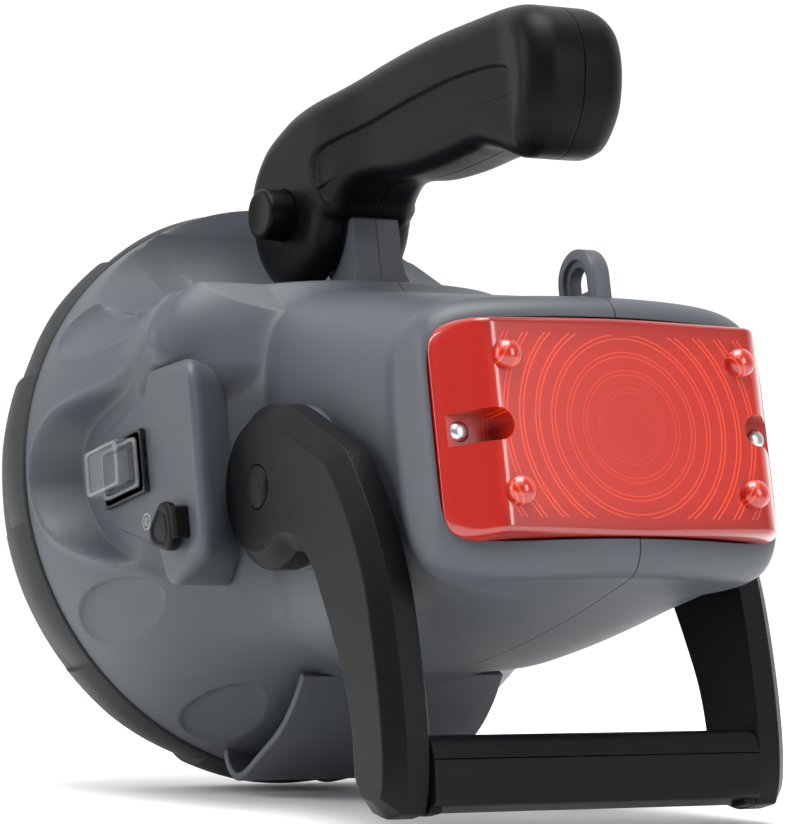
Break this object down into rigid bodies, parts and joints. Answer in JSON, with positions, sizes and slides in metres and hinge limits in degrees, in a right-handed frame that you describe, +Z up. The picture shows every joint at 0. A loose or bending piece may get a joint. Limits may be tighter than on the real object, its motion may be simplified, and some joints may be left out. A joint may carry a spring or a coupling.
{
  "type": "handheld searchlight",
  "caption": "Handheld searchlight with a round head, a turning lockable grip, a folding stand, a side switch with a clear boot and a red tail lamp.",
  "frame": {"origin": "bottom centre of the bounding box, on the ground that the front foot and the stand share", "axes": "+Z up; the beam leaves towards +Y, nose down by the stance's lean; +X across the lamp, on the side without the switch"},
  "size_m": [0.183, 0.2494, 0.2307],
  "materials": {
    "housing_plastic": "fine matte moulding",
    "bezel_rubber": "matte",
    "grip_plastic": "fine grain",
    "stand_plastic": "coarse grain",
    "cap_rubber": "matte",
    "red_lens": "clear red plastic",
    "clear_plastic": "clear plastic",
    "mirror_coat": "bright coating",
    "steel": "bright zinc",
    "brass": "plain",
    "ceramic": "plain",
    "battery_plastic": "plain",
    "foam": "closed-cell foam",
    "board_green": "coated board",
    "switch_plastic": "plain",
    "white_plastic": "plain"
  },
  "bodies": {
    "housing": {"housing_left": "housing_plastic", "housing_right": "housing_plastic", "front_bezel": "bezel_rubber", "front_lens": "clear_plastic", "lens_seal": "cap_rubber", "reflector": "mirror_coat", "bulb": "clear_plastic", "bulb_holder": "ceramic", "battery": "battery_plastic", "battery_foam": "foam", "circuit_board": "board_green", "switch_panel": "housing_plastic", "switch_body": "switch_plastic", "switch_boot": "clear_plastic", "charge_indicator": "white_plastic", "charge_socket": "switch_plastic", "cap_strap": "cap_rubber", "tail_lens": "red_lens", "tail_lens_seal": "cap_rubber", "tail_lens_screw_left": "steel", "tail_lens_screw_right": "steel", "tail_lamp_tray": "white_plastic", "tail_lamp_board": "board_green", "housing_screw_1": "steel", "housing_screw_2": "steel", "housing_screw_3": "steel", "housing_screw_4": "steel", "pivot_bolt_left": "steel", "pivot_washer_left": "brass", "pivot_bolt_right": "steel", "pivot_washer_right": "brass"},
    "stand": {"stand_arm_left": "stand_plastic", "stand_arm_right": "stand_plastic", "stand_bar_upper": "stand_plastic", "stand_bar_lower": "stand_plastic", "stand_screw_left": "steel", "stand_screw_right": "steel", "hub_cap_left": "stand_plastic", "hub_cap_right": "stand_plastic"},
    "grip": {"grip_left": "grip_plastic", "grip_right": "grip_plastic", "grip_screw_1": "steel", "grip_screw_2": "steel", "grip_screw_3": "steel", "button_spring": "steel"},
    "button": {"grip_button": "grip_plastic", "lock_gear": "steel"},
    "switch_rocker": {"rocker": "switch_plastic"},
    "inlet_cap": {"socket_cap": "cap_rubber"}
  },
  "joints": [
    {"name": "stand_fold", "type": "hinge", "parent": "housing", "child": "stand", "pos_m": [0, -0.02476, 0.09293], "axis": [1, 0, 0], "range_deg": [-5, 68]},
    {"name": "grip_turn", "type": "hinge", "parent": "housing", "child": "grip", "pos_m": [0, 0.0513, 0.17613], "axis": [1, 0, 0], "range_deg": [-90, 0]},
    {"name": "button_press", "type": "slide", "parent": "grip", "child": "button", "axis": [1, 0, 0], "range_m": [0, 0.005], "stiffness_N_per_m": 500, "springref_m": -0.004, "deforming": ["button_spring"]},
    {"name": "rocker_tilt", "type": "hinge", "parent": "housing", "child": "switch_rocker", "pos_m": [-0.0779, 0.03607, 0.0975], "axis": [0, 0.2219, 0.9751], "range_deg": [-10, 10]},
    {"name": "cap_pull", "type": "slide", "parent": "housing", "child": "inlet_cap", "axis": [-1, 0, 0], "range_m": [0, 0.01]}
  ]
}
